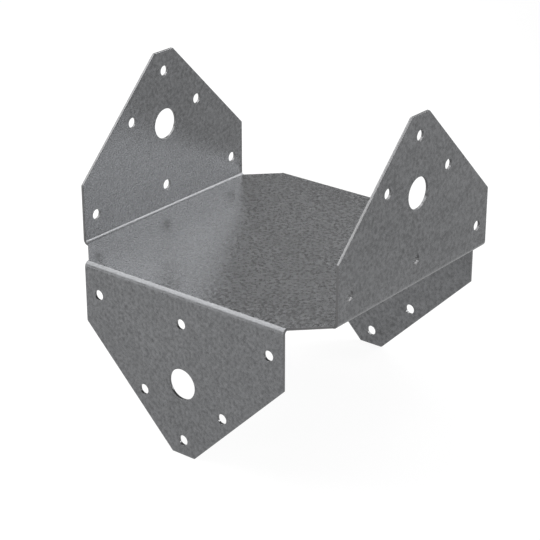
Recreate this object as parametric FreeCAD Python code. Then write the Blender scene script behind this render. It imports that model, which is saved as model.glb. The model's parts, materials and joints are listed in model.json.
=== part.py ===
"""Column cap: one galvanised steel sheet, folded up on two sides for a beam and down on two for a post.

Millimetres, +Z up. The origin is the centre of the plate's underside, where the top of the post bears.
The beam lies along Y between the two upright flanges. The hanging flanges clasp the post along Y.
"""
import FreeCAD
import Part
import math
import os

NODE = "cap_sheet"

# The sheet
sheet_thickness = 1.25
bend_radius = 1.25          # inside radius of all four folds
corner_cut = 13.15          # length along each fold that the cut at a plate corner takes away
corner_radius = 0.8         # at the shoulders and tips of the flanges

# The two upright flanges, with heights measured up from the plate's top face
beam_width = 139.7          # clear width between them
beam_flange_height = 76.2
beam_shoulder_height = 27.2     # where the sides start to taper
beam_tip_width = 12.5
beam_nail_row_height = 11.2
beam_bolt_height = 41.3
beam_side_nail_height = 47.7
beam_side_nail_inset = 12.6     # level distance from the tapered side
beam_tip_nail_inset = 9.4       # distance down from the tip

# The two hanging flanges, with heights measured down from the plate's underside
post_width = 139.7          # clear width between them
post_flange_height = 76.2
post_shoulder_height = 27.2
post_tip_width = 12.5
post_nail_row_height = 12.9
post_bolt_height = 41.5
post_side_nail_height = 51.0
post_side_nail_inset = 9.3
post_tip_nail_inset = 7.2

# Holes
nail_hole_diameter = 4.76
bolt_hole_diameter = 14.3
nail_row_inset = 7.8        # outer nails of the lower row, from the flange's straight side

# Flange lengths follow from the plate that lies across each pair of folds
plate_half_x = beam_width / 2 - bend_radius
plate_half_y = post_width / 2 - bend_radius
beam_flange_length = 2 * (plate_half_y - corner_cut)
post_flange_length = 2 * (plate_half_x - corner_cut)

ORIGIN = FreeCAD.Vector(0, 0, 0)
UP = FreeCAD.Vector(0, 0, 1)
# Half a turn about this axis swaps X with Y and turns up into down
SWAP_AXIS = FreeCAD.Vector(1, 1, 0)


def closed_face(edges):
    """Flat face inside a closed chain of edges."""
    return Part.Face(Part.Wire(edges))


def polygon_face(points):
    """Flat face inside straight sides through the points."""
    return Part.Face(Part.makePolygon(points + points[:1]))


def fold_section(clear_width, height):
    """Section across one fold, in the XZ plane: a quarter bend and the straight wall above it.

    The seat face lies at height 0 and the wall's inner face at half the clear width.
    """
    outer_radius = bend_radius + sheet_thickness
    inner_x = clear_width / 2
    outer_x = inner_x + sheet_thickness
    centre_x = inner_x - bend_radius

    def on_bend(radius, angle):
        """Point on the bend, at an angle below the level through its centre."""
        return FreeCAD.Vector(
            centre_x + radius * math.cos(angle), 0, bend_radius - radius * math.sin(angle)
        )

    half_right_angle = math.pi / 4
    right_angle = math.pi / 2
    inner_arc = Part.Arc(
        on_bend(bend_radius, right_angle), on_bend(bend_radius, half_right_angle), on_bend(bend_radius, 0)
    )
    outer_arc = Part.Arc(
        on_bend(outer_radius, 0), on_bend(outer_radius, half_right_angle), on_bend(outer_radius, right_angle)
    )
    inner_top = FreeCAD.Vector(inner_x, 0, height)
    outer_top = FreeCAD.Vector(outer_x, 0, height)
    return closed_face([
        inner_arc.toShape(),
        Part.makeLine(on_bend(bend_radius, 0), inner_top),
        Part.makeLine(inner_top, outer_top),
        Part.makeLine(outer_top, on_bend(outer_radius, 0)),
        outer_arc.toShape(),
        Part.makeLine(on_bend(outer_radius, right_angle), on_bend(bend_radius, right_angle)),
    ])


def taper_blank(clear_width, length, height, shoulder_height, tip_width):
    """Prism of a flange's side view: straight sides up to the shoulders, then a taper to a narrow tip."""
    half_length = length / 2
    half_tip = tip_width / 2
    foot = -sheet_thickness
    outline = [
        (-half_length, foot),
        (half_length, foot),
        (half_length, shoulder_height),
        (half_tip, height),
        (-half_tip, height),
        (-half_length, shoulder_height),
    ]
    start_x = clear_width / 2 - bend_radius
    depth = bend_radius + sheet_thickness
    face = polygon_face([FreeCAD.Vector(start_x, along, level) for along, level in outline])
    prism = face.extrude(FreeCAD.Vector(depth, 0, 0))
    tiny = 1e-6
    crosswise = [edge for edge in prism.Edges if abs(edge.BoundBox.XLength - depth) < tiny]
    corners = [edge for edge in crosswise if edge.BoundBox.ZMin > 0]
    return prism.makeFillet(corner_radius, corners)


def punch(clear_width, along, level, diameter):
    """Cylinder square through a flange's wall, standing out of it by one sheet thickness on each side."""
    stand_out = sheet_thickness
    start = FreeCAD.Vector(clear_width / 2 - stand_out, along, level)
    reach = stand_out + sheet_thickness + stand_out
    return Part.makeCylinder(diameter / 2, reach, start, FreeCAD.Vector(1, 0, 0))


def flange(clear_width, length, height, shoulder_height, tip_width,
           row_height, bolt_height, side_nail_height, side_nail_inset, tip_nail_inset):
    """One punched flange with its fold, on the +X side of a seat face at height 0, rising to +Z."""
    wall = fold_section(clear_width, height).extrude(FreeCAD.Vector(0, length, 0))
    wall.translate(FreeCAD.Vector(0, -length / 2, 0))
    wall = wall.common(taper_blank(clear_width, length, height, shoulder_height, tip_width))

    taper_share = (side_nail_height - shoulder_height) / (height - shoulder_height)
    half_width_there = length / 2 + taper_share * (tip_width - length) / 2
    row_nail = length / 2 - nail_row_inset
    side_nail = half_width_there - side_nail_inset
    nails = [
        (-row_nail, row_height),
        (0, row_height),
        (row_nail, row_height),
        (-side_nail, side_nail_height),
        (side_nail, side_nail_height),
        (0, height - tip_nail_inset),
    ]
    punches = [punch(clear_width, along, level, nail_hole_diameter) for along, level in nails]
    punches.append(punch(clear_width, 0, bolt_height, bolt_hole_diameter))
    return wall.cut(punches)


def plate():
    """Plate between the bend lines, with its four corners cut off."""
    half_beam_fold = beam_flange_length / 2
    half_post_fold = post_flange_length / 2
    outline = [
        (plate_half_x, -half_beam_fold),
        (plate_half_x, half_beam_fold),
        (half_post_fold, plate_half_y),
        (-half_post_fold, plate_half_y),
        (-plate_half_x, half_beam_fold),
        (-plate_half_x, -half_beam_fold),
        (-half_post_fold, -plate_half_y),
        (half_post_fold, -plate_half_y),
    ]
    face = polygon_face([FreeCAD.Vector(x, y, 0) for x, y in outline])
    return face.extrude(FreeCAD.Vector(0, 0, sheet_thickness))


def opposite_pair(shape):
    """A flange and its fellow on the other side of the plate."""
    return [shape, shape.rotated(ORIGIN, UP, 180)]


beam_flange = flange(
    beam_width, beam_flange_length, beam_flange_height, beam_shoulder_height, beam_tip_width,
    beam_nail_row_height, beam_bolt_height, beam_side_nail_height, beam_side_nail_inset, beam_tip_nail_inset,
)
beam_flange.translate(FreeCAD.Vector(0, 0, sheet_thickness))

post_flange = flange(
    post_width, post_flange_length, post_flange_height, post_shoulder_height, post_tip_width,
    post_nail_row_height, post_bolt_height, post_side_nail_height, post_side_nail_inset, post_tip_nail_inset,
)
post_flange = post_flange.rotated(ORIGIN, SWAP_AXIS, 180)

cap = plate().fuse(opposite_pair(beam_flange) + opposite_pair(post_flange)).removeSplitter()
cap_solid = cap.Solids[0]

os.makedirs("parts", exist_ok=True)
cap_solid.exportStep(os.path.join("parts", NODE + ".step"))
print(NODE, "solids", len(cap.Solids), "valid", cap_solid.isValid(), "volume", round(cap_solid.Volume, 2))
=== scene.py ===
"""Column cap: one galvanised sheet, cut flat, punched, folded up on two sides and down on two.

Metres, +Z up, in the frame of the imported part. The sections follow the making of the cap, then the studio.
"""
import json
import math

import bpy
import numpy as np
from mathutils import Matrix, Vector
from mathutils.geometry import tessellate_polygon


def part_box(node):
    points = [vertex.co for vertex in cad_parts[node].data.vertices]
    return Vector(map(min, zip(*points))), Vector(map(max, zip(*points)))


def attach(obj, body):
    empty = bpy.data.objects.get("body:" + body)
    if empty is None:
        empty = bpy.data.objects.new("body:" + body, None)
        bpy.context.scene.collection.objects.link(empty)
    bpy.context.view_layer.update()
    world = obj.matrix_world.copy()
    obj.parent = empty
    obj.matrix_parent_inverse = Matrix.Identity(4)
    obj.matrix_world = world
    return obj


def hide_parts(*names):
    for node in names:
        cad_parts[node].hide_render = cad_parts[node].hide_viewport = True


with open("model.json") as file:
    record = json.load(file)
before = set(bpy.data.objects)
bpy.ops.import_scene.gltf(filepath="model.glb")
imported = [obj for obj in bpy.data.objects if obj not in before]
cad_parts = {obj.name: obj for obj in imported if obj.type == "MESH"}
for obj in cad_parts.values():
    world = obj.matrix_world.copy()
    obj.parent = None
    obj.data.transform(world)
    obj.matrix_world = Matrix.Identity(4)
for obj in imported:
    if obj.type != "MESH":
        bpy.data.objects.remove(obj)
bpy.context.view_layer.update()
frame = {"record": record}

# The blank
# The cap starts as one flat piece of galvanised steel sheet. A press cuts its outline: a plate with four
# tapered flanges and a cut corner between each two. The pair along X will rise to hold the beam, and the
# pair along Y will hang down to clasp the post.
MM = 0.001
mounts = {mount["name"]: mount for mount in frame["record"]["mounts"]}
low_corner, high_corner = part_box("cap_sheet")
thickness = mounts["beam_seat"]["pos_m"][2]
bend_radius = 1.25 * MM         # inside radius of all four folds
corner_cut = 13.15 * MM         # length along each fold that the cut at a plate corner takes away
shoulder_height = 27.2 * MM     # where a flange starts to taper, from the seat that it stands on
tip_width = 12.5 * MM           # of the flat end of each flange
corner_radius = 0.8 * MM        # at the shoulders and tips
notch_radius = 0.25 * MM        # where a corner cut meets a flange's side
bend_length = (bend_radius + thickness / 2) * math.pi / 2
plate_half_x = high_corner.x - thickness - bend_radius
plate_half_y = high_corner.y - thickness - bend_radius
CORNER_POINTS = 5               # round each rounded corner
BEND_ROWS = 10                  # across each fold


def out_to(height):
    """Distance in the blank from a bend line to a height on the folded flange."""
    return bend_length + height - bend_radius


def rounded_corner(corner, first_turn, last_turn, radius):
    """Arc that rounds a corner, with its outward normals.

    The turns are the directions of the normals of the two sides that meet there. The centre lies back from
    the corner by the radius times the sum of both normals, over one plus their dot product. A negative
    radius fills an inside corner.
    """
    turns = np.linspace(first_turn, last_turn, CORNER_POINTS)
    normals = np.stack([np.cos(turns), np.sin(turns)], axis=1)
    ends = normals[[0, -1]]
    centre = np.array(corner) - radius * ends.sum(axis=0) / (1 + ends[0] @ ends[1])
    return centre + radius * normals, normals


def flange_outline(half_length, height):
    """One flange's (along, out) points and normals: notch, bend rows, shoulder, tip, and their mirror.

    The side is straight up to the shoulder, and the taper is straight from there to the tip.
    """
    run = half_length - tip_width / 2
    rise = height - shoulder_height
    notch_turn = math.radians(135)
    side_turn = math.radians(180)
    taper_turn = math.atan2(run, -rise)
    tip_turn = math.radians(90)
    shoulder = (-half_length, out_to(shoulder_height))
    tip = (-tip_width / 2, out_to(height))
    row_places = bend_length * np.arange(1, BEND_ROWS + 1) / BEND_ROWS
    rows = np.stack([np.full(BEND_ROWS, -half_length), row_places], axis=1)
    runs = [
        rounded_corner((-half_length, 0), notch_turn, side_turn, -notch_radius),
        (rows, np.tile([-1.0, 0.0], (BEND_ROWS, 1))),
        rounded_corner(shoulder, side_turn, taper_turn, corner_radius),
        rounded_corner(tip, taper_turn, tip_turn, corner_radius),
    ]
    half_points, half_normals = (np.concatenate(arrays) for arrays in zip(*runs))
    mirror = np.array([-1.0, 1.0])
    points = np.concatenate([half_points, half_points[::-1] * mirror])
    normals = np.concatenate([half_normals, half_normals[::-1] * mirror])
    return points, normals


# Each flange: its name in the mounts, its bolt's mount, its seat, the way it points out, and how far it
# stands from that seat
FLANGES = [
    ("beam_plus", "beam_bolt", "beam_seat", (1, 0), high_corner.z - thickness),
    ("post_plus", "post_bolt", "post_seat", (0, 1), -low_corner.z),
    ("beam_minus", "beam_bolt", "beam_seat", (-1, 0), high_corner.z - thickness),
    ("post_minus", "post_bolt", "post_seat", (0, -1), -low_corner.z),
]


def on_blank(local, outward):
    """Turns a flange's (along, out) vectors into the blank's (u, v).

    Along lies a quarter turn from the way that the flange points out.
    """
    out_way = np.array(outward, float)
    along_way = np.array([-out_way[1], out_way[0]])
    return local[:, :1] * along_way + local[:, 1:] * out_way


def bend_line(outward):
    """Point of the blank in the middle of a flange's bend line."""
    return np.array(outward) * (plate_half_x, plate_half_y)


outline_points = []
outline_normals = []
for _, _, _, outward, height in FLANGES:
    across = plate_half_y if outward[0] else plate_half_x
    points, normals = flange_outline(across - corner_cut, height)
    outline_points.append(bend_line(outward) + on_blank(points, outward))
    outline_normals.append(on_blank(normals, outward))
FLANGE_POINTS = len(points)
outline = (np.concatenate(outline_points), np.concatenate(outline_normals))

# The punched holes
# Six nail holes and one bolt hole in each flange, punched through the flat blank in the same stroke.
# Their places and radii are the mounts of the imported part.
NAIL_POINTS = 48
BOLT_POINTS = 96
NAIL_PATTERNS = ("row_nails", "side_nails", "centre_nails")


def hole_places(name, bolt, seat):
    """A flange's holes as (along, height, radius, points round it).

    A nail pattern is a pair of holes, spaced evenly about its mount.
    """
    seat_level = mounts[seat]["pos_m"][2]
    places = []
    for pattern in NAIL_PATTERNS:
        mount = mounts[f"{name}_{pattern}"]
        half_along = mount["dims"].get("spacing_x_mm", 0) * MM / 2
        half_rise = mount["dims"].get("spacing_y_mm", 0) * MM / 2
        height = abs(mount["pos_m"][2] - seat_level)
        radius = mount["dims"]["hole_r_mm"] * MM
        places.append((-half_along, height - half_rise, radius, NAIL_POINTS))
        places.append((half_along, height + half_rise, radius, NAIL_POINTS))
    bolt_height = abs(mounts[bolt]["pos_m"][2] - seat_level)
    places.append((0, bolt_height, mounts[bolt]["dims"]["r_mm"] * MM, BOLT_POINTS))
    return places


def punched_hole(centre, radius, count):
    """Circle run clockwise, so that the sheet stays on its left, with normals that point at its centre."""
    turns = -2 * math.pi * np.arange(count) / count
    normals = -np.stack([np.cos(turns), np.sin(turns)], axis=1)
    return centre - radius * normals, normals


holes = []
for name, bolt, seat, outward, _ in FLANGES:
    flange_holes = []
    for along, height, radius, count in hole_places(name, bolt, seat):
        centre = bend_line(outward) + on_blank(np.array([[along, out_to(height)]]), outward)
        flange_holes.append(punched_hole(centre, radius, count))
    holes.append(flange_holes)

# The cut edges
# The punch enters at the plate's top face. It draws that rim over into a small roll, shears a smooth land
# about half way through, and tears the rest, which falls back a little and ends in a fine burr-side edge.
roll = 0.17 * MM                # radius of the rolled rim
land_share = 0.5                # part of the thickness that the punch shears clean
tear_back = 0.035 * MM          # how far the torn part falls back
tear_start = 0.05               # part of the thickness in which the land turns into the tear
tear_start_back = 0.1           # part of the fall-back that is reached there
burr_round = 0.05 * MM          # radius of the burr-side edge
ROLL_STEPS = 5
BURR_STEPS = 3


def cut_profile():
    """Section of a cut edge, from the top face to the underside.

    Rows of (inset from the outline, depth, normal out, normal up, bareness): a quarter round, the sheared
    land, the torn face that falls back, and a small quarter round at the underside.
    """
    roll_turn = np.linspace(0, math.pi / 2, ROLL_STEPS)
    burr_turn = np.linspace(0, math.pi / 2, BURR_STEPS)
    land_depth = land_share * thickness
    tear_depth = thickness - burr_round
    tear_tilt = tear_back / (tear_depth - land_depth)
    rolled = np.stack([
        roll * (1 - np.sin(roll_turn)),
        roll * (1 - np.cos(roll_turn)),
        np.sin(roll_turn),
        np.cos(roll_turn),
        np.sin(roll_turn) ** 2,
    ], axis=1)
    land = np.array([
        (0, land_depth, 1, 0, 1),
        (tear_start_back * tear_back, land_depth + tear_start * thickness, 1, -tear_tilt, 1),
    ])
    burr = np.stack([
        tear_back + burr_round * (1 - np.cos(burr_turn)),
        tear_depth + burr_round * np.sin(burr_turn),
        np.cos(burr_turn),
        -np.sin(burr_turn),
        np.cos(burr_turn) ** 2,
    ], axis=1)
    return np.concatenate([rolled, land, burr])


profile = cut_profile()
inset, depth, normal_out, normal_up, bareness = profile.T
EDGE_ROWS = len(profile)


def carried_edge(loop):
    """Edge profile carried along a loop: points (u, v, depth) and normals, in a grid of loop by profile.

    Each point lies in from the loop, along its normal, by the profile's inset, at the profile's depth.
    """
    points, normals = loop
    count = len(points)
    flat = points[:, None] - normals[:, None] * inset[:, None]
    depths = np.broadcast_to(depth[:, None], (count, EDGE_ROWS, 1))
    sideways = normals[:, None] * normal_out[:, None]
    upright = np.broadcast_to(normal_up[:, None], (count, EDGE_ROWS, 1))
    return np.concatenate([flat, depths], axis=2), np.concatenate([sideways, upright], axis=2)


def edge_faces(first, count):
    """Quads of a carried edge whose points start at an index: each joins two rows and two neighbours."""
    grid = first + np.arange(count * EDGE_ROWS).reshape(count, EDGE_ROWS)
    onward = np.roll(grid, -1, axis=0)
    corners = [grid[:, :-1], grid[:, 1:], onward[:, 1:], onward[:, :-1]]
    return np.stack(corners, axis=2).reshape(-1, 4)


loops = [outline] + [hole for flange_holes in holes for hole in flange_holes]
loop_sizes = [len(points) for points, _ in loops]
loop_starts = np.concatenate([[0], np.cumsum(loop_sizes)[:-1]]) * EDGE_ROWS
edges = [carried_edge(loop) for loop in loops]
blank = np.concatenate([points.reshape(-1, 3) for points, _ in edges])
blank_normals = np.concatenate([normals.reshape(-1, 3) for _, normals in edges])
blank_normals /= np.linalg.norm(blank_normals, axis=1, keepdims=True)
bare = np.tile(bareness, sum(loop_sizes))
quads = [edge_faces(first, count) for first, count in zip(loop_starts, loop_sizes)]


# The two faces of the sheet
# Between the cut edges lie the rolled faces: the flat plate, four bend strips and four punched walls.
# The top face runs from the first row of each edge, and the underside from the last.
def ring(loop_index, row):
    """Indices of one row of a loop's edge."""
    return loop_starts[loop_index] + row + EDGE_ROWS * np.arange(loop_sizes[loop_index])


def filled(rings):
    """Triangles inside the first ring and outside the others, all wound to face up."""
    flat = blank[:, :2]
    indices = np.concatenate(rings)
    triangles = indices[np.array(tessellate_polygon([flat[one].tolist() for one in rings]))]
    first, second, third = (flat[triangles[:, corner]] for corner in range(3))
    along, aside = second - first, third - first
    area = along[:, 0] * aside[:, 1] - along[:, 1] * aside[:, 0]
    return np.where(area[:, None] < 0, triangles[:, ::-1], triangles)


def sheet_face(row):
    """Quads and triangles of one whole face of the blank, facing up.

    The plate is filled inside its cut corners, a bend strip is a ladder of quads between the two sides of
    its flange, and a wall is filled round its holes.
    """
    flanges = ring(0, row).reshape(len(FLANGES), FLANGE_POINTS)
    plate_points = np.arange(CORNER_POINTS)
    plate_ring = np.concatenate([flanges[:, plate_points], flanges[:, -1 - plate_points[::-1]]], axis=1)
    rows_in = flanges[:, CORNER_POINTS - 1:CORNER_POINTS + BEND_ROWS]
    rows_back = flanges[:, ::-1][:, CORNER_POINTS - 1:CORNER_POINTS + BEND_ROWS]
    strip = np.stack([rows_in[:, :-1], rows_in[:, 1:], rows_back[:, 1:], rows_back[:, :-1]], axis=2)
    first_wall = CORNER_POINTS + BEND_ROWS - 1
    triangles = [filled([plate_ring.ravel()])]
    hole_index = 1
    for flange, flange_holes in zip(flanges, holes):
        hole_rings = [ring(hole_index + offset, row) for offset in range(len(flange_holes))]
        triangles.append(filled([flange[first_wall:FLANGE_POINTS - first_wall]] + hole_rings))
        hole_index += len(flange_holes)
    return strip.reshape(-1, 4), np.concatenate(triangles)


top_quads, top_triangles = sheet_face(0)
under_quads, under_triangles = sheet_face(EDGE_ROWS - 1)
quads = np.concatenate(quads + [top_quads, under_quads[:, ::-1]])
triangles = np.concatenate([top_triangles, under_triangles[:, ::-1]])


# The folds
# A press brake folds the punched blank along four lines, two up and two down. The sheet keeps its
# thickness, and only its middle layer keeps its length, so a fold takes that layer's quarter circle out
# of the blank.
def folded(reach, inner_depth, plate_half):
    """Where one fold carries a point of the blank: its distance out, its rise and the angle turned.

    Past the bend line the point runs round a quarter circle, whose radius is the inside radius plus the
    point's depth from the inner face, and then straight on.
    """
    past = np.maximum(reach - plate_half, 0)
    angle = np.minimum(past / bend_length, 1) * math.pi / 2
    radius = bend_radius + inner_depth
    out = np.minimum(reach, plate_half) + radius * np.sin(angle)
    rise = radius * (1 - np.cos(angle)) + np.maximum(past - bend_length, 0)
    return out, rise, angle


def tilted(out, up, angle):
    """A normal's outward and upward parts after a turn that lifts the outward side by the angle."""
    return out * np.cos(angle) - up * np.sin(angle), out * np.sin(angle) + up * np.cos(angle)


u, v, w = blank.T
out_x, lift, up_angle = folded(np.abs(u), w, plate_half_x)
out_y, drop, down_angle = folded(np.abs(v), thickness - w, plate_half_y)
side_x, side_y = np.sign(u), np.sign(v)
places = np.stack([side_x * out_x, side_y * out_y, thickness - w + lift - drop], axis=1)
normal_x, normal_y, normal_z = blank_normals.T
tilted_x, normal_z = tilted(side_x * normal_x, normal_z, up_angle)
tilted_y, normal_z = tilted(side_y * normal_y, normal_z, -down_angle)
normals = np.stack([side_x * tilted_x, side_y * tilted_y, normal_z], axis=1)
stretch = np.sin(2 * (up_angle + down_angle))   # most in the middle of a fold, and none on the flats
FACE_GAP = 60 * MM              # sets the two faces apart in the coat's pattern, so that they don't repeat

sheet_mesh = bpy.data.meshes.new("cap_sheet_folded")
sheet_mesh.from_pydata(places.tolist(), [], quads.tolist() + triangles.tolist(), shade_flat=False)
sheet_mesh.normals_split_custom_set_from_vertices(normals.tolist())
coat_place = np.stack([u, v, np.where(w > thickness / 2, FACE_GAP, 0)], axis=1)
sheet_mesh.attributes.new("blank", "FLOAT_VECTOR", "POINT").data.foreach_set("vector", coat_place.ravel())
sheet_mesh.attributes.new("bare", "FLOAT", "POINT").data.foreach_set("value", bare)
sheet_mesh.attributes.new("stretch", "FLOAT", "POINT").data.foreach_set("value", stretch)
cap_sheet = bpy.data.objects.new("folded_cap_sheet", sheet_mesh)
bpy.context.scene.collection.objects.link(cap_sheet)

# The zinc coat
# The sheet is dipped in zinc before it is cut, so the coat runs over the folds without a break. It has set
# in fine crystals and gone dull grey. The cut edges are bare steel, which has dulled too.
zinc_dark = (0.0868, 0.0882, 0.091, 1)
zinc_light = (0.214, 0.2174, 0.2243, 1)
zinc_metallic = 0.92
steel_metallic = 0.6            # the torn half of a cut edge is dull
zinc_roughness = 0.276
fold_roughness = 0.13           # added where the folds have stretched the coat
steel_dark = (0.085, 0.085, 0.087, 1)
steel_light = (0.165, 0.165, 0.168, 1)
steel_grain = 0.25 * MM
steel_detail = 2
crystal_size = 3.4 * MM
crystal_warp = 0.9              # how far the crystals' borders wander, in crystals
crystal_warp_detail = 1
grain_depth = 0.05 * MM         # height of the coat's relief
grain_turn = math.radians(33)   # keeps the grain's own grid from lining up with the sheet's sides
# The clouds, grain, speckle and rolling streaks: each layer's size across and along the rolling direction,
# its detail, and its part in tone, roughness and height
COAT_LAYERS = [
    (34 * MM, 34 * MM, 3, 0.22, 0.02, 0.0),
    (1.7 * MM, 1.7 * MM, 2, 1.40, 0.38, 1.0),
    (0.7 * MM, 0.7 * MM, 1, 0.50, 0.20, 0.15),
    (1.1 * MM, 22 * MM, 2, 0.30, 0.0, 0.15),
]
crystal_shares = (0.12, 0.03)   # part of a crystal's own shade in tone and roughness
texture_middle = 0.5            # of a texture's range, and of the range between two tones


class Wire:
    """One output in a node tree. Arithmetic on it adds Math nodes, and node adds any other kind."""

    def __init__(self, tree, socket=None):
        self.tree = tree
        self.socket = socket

    def node(self, kind, settings=None, inputs=None, output=0):
        """Adds a node. Its settings are set first, then its sockets take values or wires."""
        made = self.tree.nodes.new(kind)
        for name, value in (settings or {}).items():
            setattr(made, name, value)
        for name, value in (inputs or {}).items():
            if isinstance(value, Wire):
                self.tree.links.new(value.socket, made.inputs[name])
            else:
                made.inputs[name].default_value = value
        return Wire(self.tree, made.outputs[output] if made.outputs else None)

    def maths(self, operation, first, second):
        """A Math node on two values or wires."""
        return self.node("ShaderNodeMath", {"operation": operation}, {0: first, 1: second})

    def __add__(self, other):
        return self.maths("ADD", self, other)

    def __sub__(self, other):
        return self.maths("SUBTRACT", self, other)

    def __mul__(self, other):
        return self.maths("MULTIPLY", self, other)

    def __rsub__(self, other):
        return self.maths("SUBTRACT", other, self)

    __radd__ = __add__
    __rmul__ = __mul__

    def scaled(self, factors):
        """A vector with each part multiplied."""
        return self.node("ShaderNodeVectorMath", {"operation": "MULTIPLY"}, {0: self, 1: factors})

    def noise(self, detail):
        """Noise about zero at these coordinates, with features about one unit wide."""
        inputs = {"Vector": self, "Scale": 1.0, "Detail": detail}
        return self.node("ShaderNodeTexNoise", {"noise_dimensions": "3D"}, inputs) - texture_middle

    def mixed(self, first, second):
        """A colour between two colours, with this wire as the share of the second.

        Inputs 6 and 7 and output 2 are the Mix node's colours.
        """
        settings = {"data_type": "RGBA", "clamp_factor": True}
        return self.node("ShaderNodeMix", settings, {0: self, 6: first, 7: second}, output=2)


def new_tree(data):
    """An empty node tree on a material or world, as a wire to start from."""
    data.use_nodes = True
    data.node_tree.nodes.clear()
    return Wire(data.node_tree)


def zinc_coat():
    """Dull galvanised zinc, with bare steel on the cut edges.

    The coat's tone, roughness and relief are sums of the layers' noise times their parts. Roughness and
    relief fade out with the coat towards bare steel, and a stretched fold is rougher.
    """
    material = bpy.data.materials.new("galvanised_zinc")
    start = new_tree(material)
    place = start.node("ShaderNodeAttribute", {"attribute_name": "blank"}, output="Vector")
    bare_steel = start.node("ShaderNodeAttribute", {"attribute_name": "bare"}, output="Fac")
    stretched = start.node("ShaderNodeAttribute", {"attribute_name": "stretch"}, output="Fac")
    turned = place.node(
        "ShaderNodeVectorRotate", {"rotation_type": "Z_AXIS"}, {"Vector": place, "Angle": grain_turn}
    )

    def at_size(across, along):
        """Coordinates whose unit is a feature's size across and along the rolling direction."""
        source = turned if across == along else place
        return source.scaled((1 / across, 1 / along, 1 / across))

    warp = place.node(
        "ShaderNodeTexNoise", {"noise_dimensions": "3D"},
        {"Vector": place, "Scale": 1 / crystal_size, "Detail": crystal_warp_detail}, output="Color",
    )
    warped = place.node(
        "ShaderNodeVectorMath", {"operation": "MULTIPLY_ADD"},
        {0: warp, 1: (crystal_warp, crystal_warp, crystal_warp), 2: at_size(crystal_size, crystal_size)},
    )
    crystals = warped.node(
        "ShaderNodeTexVoronoi", {"feature": "F1"}, {"Vector": warped, "Scale": 1.0}, output="Color"
    )
    crystal = crystals.node("ShaderNodeSeparateColor", {}, {0: crystals}) - texture_middle

    tone, roughness = (crystal * share for share in crystal_shares)
    height = 0.0
    for across, along, detail, tone_share, rough_share, height_share in COAT_LAYERS:
        layer = at_size(across, along).noise(detail)
        tone = tone + layer * tone_share
        roughness = roughness + layer * rough_share
        height = layer * height_share + height
    zinc = (texture_middle + tone).mixed(zinc_dark, zinc_light)
    torn = place.scaled((1 / steel_grain, 1 / steel_grain, 0)).noise(steel_detail)
    steel = (texture_middle + torn).mixed(steel_dark, steel_light)
    coated = 1 - bare_steel
    normal = height.node("ShaderNodeBump", {}, {"Height": height * coated, "Distance": grain_depth})
    metal = start.node("ShaderNodeBsdfPrincipled", {}, {
        "Base Color": bare_steel.mixed(zinc, steel),
        "Metallic": zinc_metallic - bare_steel * (zinc_metallic - steel_metallic),
        "Roughness": zinc_roughness + roughness * coated + stretched * fold_roughness,
        "Normal": normal,
    })
    start.node("ShaderNodeOutputMaterial", {}, {"Surface": metal})
    return material


sheet_mesh.materials.append(zinc_coat())
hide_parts("cap_sheet")
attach(cap_sheet, "root")

# The floor
# A plain white studio sweep: level under the cap, then rising far off into a low rim, so that a level view
# still looks at white. Its glow is painted: painted light makes it brighter towards the arch of lamps, and
# painted shade makes it dimmer on the other side, as a broad soft shadow that the metal mirrors.
# The cap stands on it on the tips of its hanging flanges.
FLOOR_RINGS = 24
FLOOR_TURNS = 64
sweep_radius = 7.0
sweep_level_radius = 2.5
sweep_rise = 1.5
floor_glow = 0.93               # under and around the cap
# Painted light and painted shade in the floor's glow: painted light towards the arch of lamps, and painted
# shade, a broad soft shadow, on the other side
painted_light_glow = 1.0               # towards the arch of lamps
painted_light_width = 0.2              # over this distance from the middle of the cap
painted_shade_glow = 0.72                 # on the other side
painted_shade_way = (0.782, 0.6235, 0)    # from the arch to the other side
painted_shade_start = 0.13                # this far from the middle of the cap it starts to dim
painted_shade_width = 0.16                # and it is dim this much further on
far_glow = 1.0                  # plain white, far off
near_radius = 0.42              # from here the sweep turns to plain white
far_radius = 0.8                # and here it is plain white
floor_lit = 0.09                # part of the white that is lit, and so can be shaded
floor_colour = (0.4, 0.4, 0.4, 1)   # for the lamps' light that it throws back on the cap


def sweep_mesh():
    """Disc in rings and turns whose height grows with the square of the distance past the level part."""
    reach = sweep_radius * (np.arange(1, FLOOR_RINGS + 1) / FLOOR_RINGS) ** 2
    turn = 2 * math.pi * np.arange(FLOOR_TURNS) / FLOOR_TURNS
    past = np.maximum(reach - sweep_level_radius, 0) / (sweep_radius - sweep_level_radius)
    level = low_corner.z + sweep_rise * past ** 2
    rings = np.stack([
        reach[:, None] * np.cos(turn),
        reach[:, None] * np.sin(turn),
        np.broadcast_to(level[:, None], (FLOOR_RINGS, FLOOR_TURNS)),
    ], axis=2).reshape(-1, 3)
    grid = np.arange(FLOOR_RINGS * FLOOR_TURNS).reshape(FLOOR_RINGS, FLOOR_TURNS)
    onward = np.roll(grid, -1, axis=1)
    faces = np.stack([grid[:-1], grid[1:], onward[1:], onward[:-1]], axis=2).reshape(-1, 4)
    mesh = bpy.data.meshes.new("studio_floor")
    mesh.from_pydata(rings.tolist(), [], faces.tolist() + [grid[0].tolist()], shade_flat=False)
    return mesh


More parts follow.
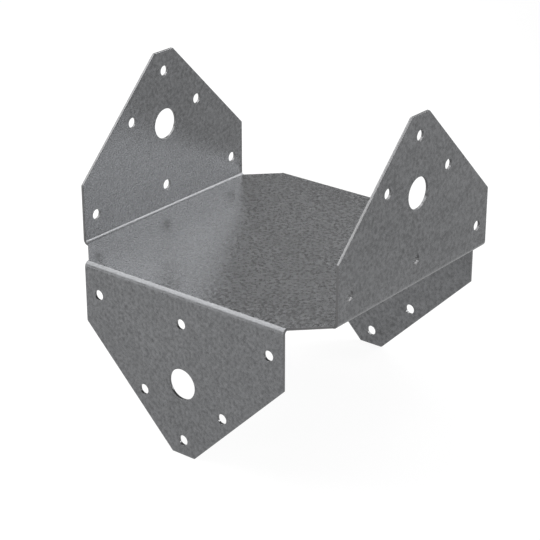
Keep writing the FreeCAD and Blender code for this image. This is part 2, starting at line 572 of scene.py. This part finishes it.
def floor_paint():
    """Pale matt floor. Seen directly or in the metal, it glows for the part of its white that isn't lit.

    Along the painted shade's way, the glow goes evenly from painted light to its plain level, and then from
    that to painted shade. It turns evenly to plain white between the near and the far radius.
    """
    material = bpy.data.materials.new("studio_white")
    start = new_tree(material)
    camera_ray = start.node("ShaderNodeLightPath", output="Is Camera Ray")
    glossy_ray = start.node("ShaderNodeLightPath", output="Is Glossy Ray")
    transmission_ray = start.node("ShaderNodeLightPath", output="Is Transmission Ray")
    matt = start.node("ShaderNodeBsdfDiffuse", {}, {"Color": floor_colour})
    lit = start.node("ShaderNodeBsdfDiffuse", {}, {"Color": (floor_lit, floor_lit, floor_lit, 1)})
    levels = (floor_glow, painted_light_glow, painted_shade_glow, far_glow)
    glows = [start.node("ShaderNodeEmission", {}, {"Strength": level}) for level in levels]
    plain, bright, dim, white = glows

    def between(share, first, second):
        """A surface that goes from the first to the second as the share goes from 0 to 1."""
        return start.node("ShaderNodeMixShader", {}, {0: share, 1: first, 2: second})

    place = start.node("ShaderNodeTexCoord", output="Object")
    distance = place.node("ShaderNodeVectorMath", {"operation": "LENGTH"}, {0: place}, output="Value")
    aside = place.node(
        "ShaderNodeVectorMath", {"operation": "DOT_PRODUCT"}, {0: place, 1: painted_shade_way}, output="Value"
    )
    # Painted light towards the arch of lamps and painted shade on the other side, in the floor's glow
    painted_light_share = aside * (-1 / painted_light_width)
    painted_shade_share = (aside - painted_shade_start) * (1 / painted_shade_width)
    white_share = (distance - near_radius) * (1 / (far_radius - near_radius))
    glow = between(painted_shade_share, between(painted_light_share, plain, bright), dim)
    near = start.node("ShaderNodeAddShader", {}, {0: lit, 1: glow})
    seen = between(white_share, near, white)
    surface = between(camera_ray + glossy_ray + transmission_ray, matt, seen)
    start.node("ShaderNodeOutputMaterial", {}, {"Surface": surface})
    return material


floor_mesh = sweep_mesh()
floor_mesh.materials.append(floor_paint())
studio_floor = bpy.data.objects.new("studio_floor", floor_mesh)
bpy.context.scene.collection.objects.link(studio_floor)

# The light
# Soft boxes in a dim room, each an area lamp that faces the cap. Four in an arch at the left draw the light
# line along the front fold. Six behind are mirrored by the plate and the left flange, three in front fill
# the hanging flanges and the cut edges, and a wide one hangs overhead.
ROOM_LEVEL = 0.1
# Name, direction from the cap, distance, size and power
LAMPS = [
    ("arch_back", (-0.567, 0.164, 0.807), 1.3, 0.6, 5.3),
    ("arch_top", (-0.567, -0.122, 0.814), 1.3, 0.6, 2.1),
    ("arch_middle", (-0.567, -0.393, 0.724), 1.3, 0.6, 4.7),
    ("arch_front", (-0.567, -0.616, 0.546), 1.3, 0.6, 4.0),
    ("left_low", (-0.61, -0.79, -0.02), 1.0, 0.4, 0.85),
    ("front", (0.1, -0.9, 0.45), 1.3, 0.5, 1.6),
    ("front_low", (0.724, -0.567, 0.02), 1.0, 0.4, 3.0),
    ("over_left", (-0.30, 0.60, 0.74), 1.3, 0.5, 3.2),
    ("back_left", (-0.567, 0.724, 0.393), 1.3, 0.7, 0.4),
    ("back_high", (0.0, 0.724, 0.687), 1.3, 0.5, 5.0),
    ("back_middle", (0.36, 0.72, 0.59), 1.3, 0.4, 1.7),
    ("back_right", (0.592, 0.705, 0.39), 1.3, 0.5, 3.3),
    ("back_right_high", (0.59, 0.65, 0.48), 1.3, 0.45, 5.4),
    ("overhead", (0.0, 0.0, 1.0), 1.3, 1.2, 2.4),
]
for name, direction, distance, size, power in LAMPS:
    lamp_data = bpy.data.lights.new(name, "AREA")
    lamp_data.shape = "DISK"
    lamp_data.size = size
    lamp_data.energy = power
    lamp = bpy.data.objects.new(name, lamp_data)
    way = Vector(direction).normalized()
    lamp.location = way * distance
    lamp.rotation_euler = way.to_track_quat("Z", "Y").to_euler()
    bpy.context.scene.collection.objects.link(lamp)

room = bpy.data.worlds.new("dim_room")
room_start = new_tree(room)
room_glow = room_start.node("ShaderNodeBackground", {}, {"Color": (1, 1, 1, 1), "Strength": ROOM_LEVEL})
room_start.node("ShaderNodeOutputWorld", {}, {"Surface": room_glow})
bpy.context.scene.world = room
bpy.context.scene.view_settings.view_transform = "Standard"

# The camera
# A long lens that looks down on the cap from the front right, at the photograph's angle and framing. It
# stands about 0.8 m from the middle of the cap.
sensor_width = 36               # in millimetres, as is the lens
lens_length = 119.482
camera_place = (457.06 * MM, -583.47 * MM, 316.63 * MM)
camera_tilt = math.radians(66.076)  # up from straight down
camera_turn = math.radians(38.566)  # to the left from straight along Y
camera_data = bpy.data.cameras.new("camera")
camera_data.sensor_width = sensor_width
camera_data.lens = lens_length
camera = bpy.data.objects.new("camera", camera_data)
camera.location = camera_place
camera.rotation_euler = (camera_tilt, 0, camera_turn)
bpy.context.scene.collection.objects.link(camera)
bpy.context.scene.camera = camera
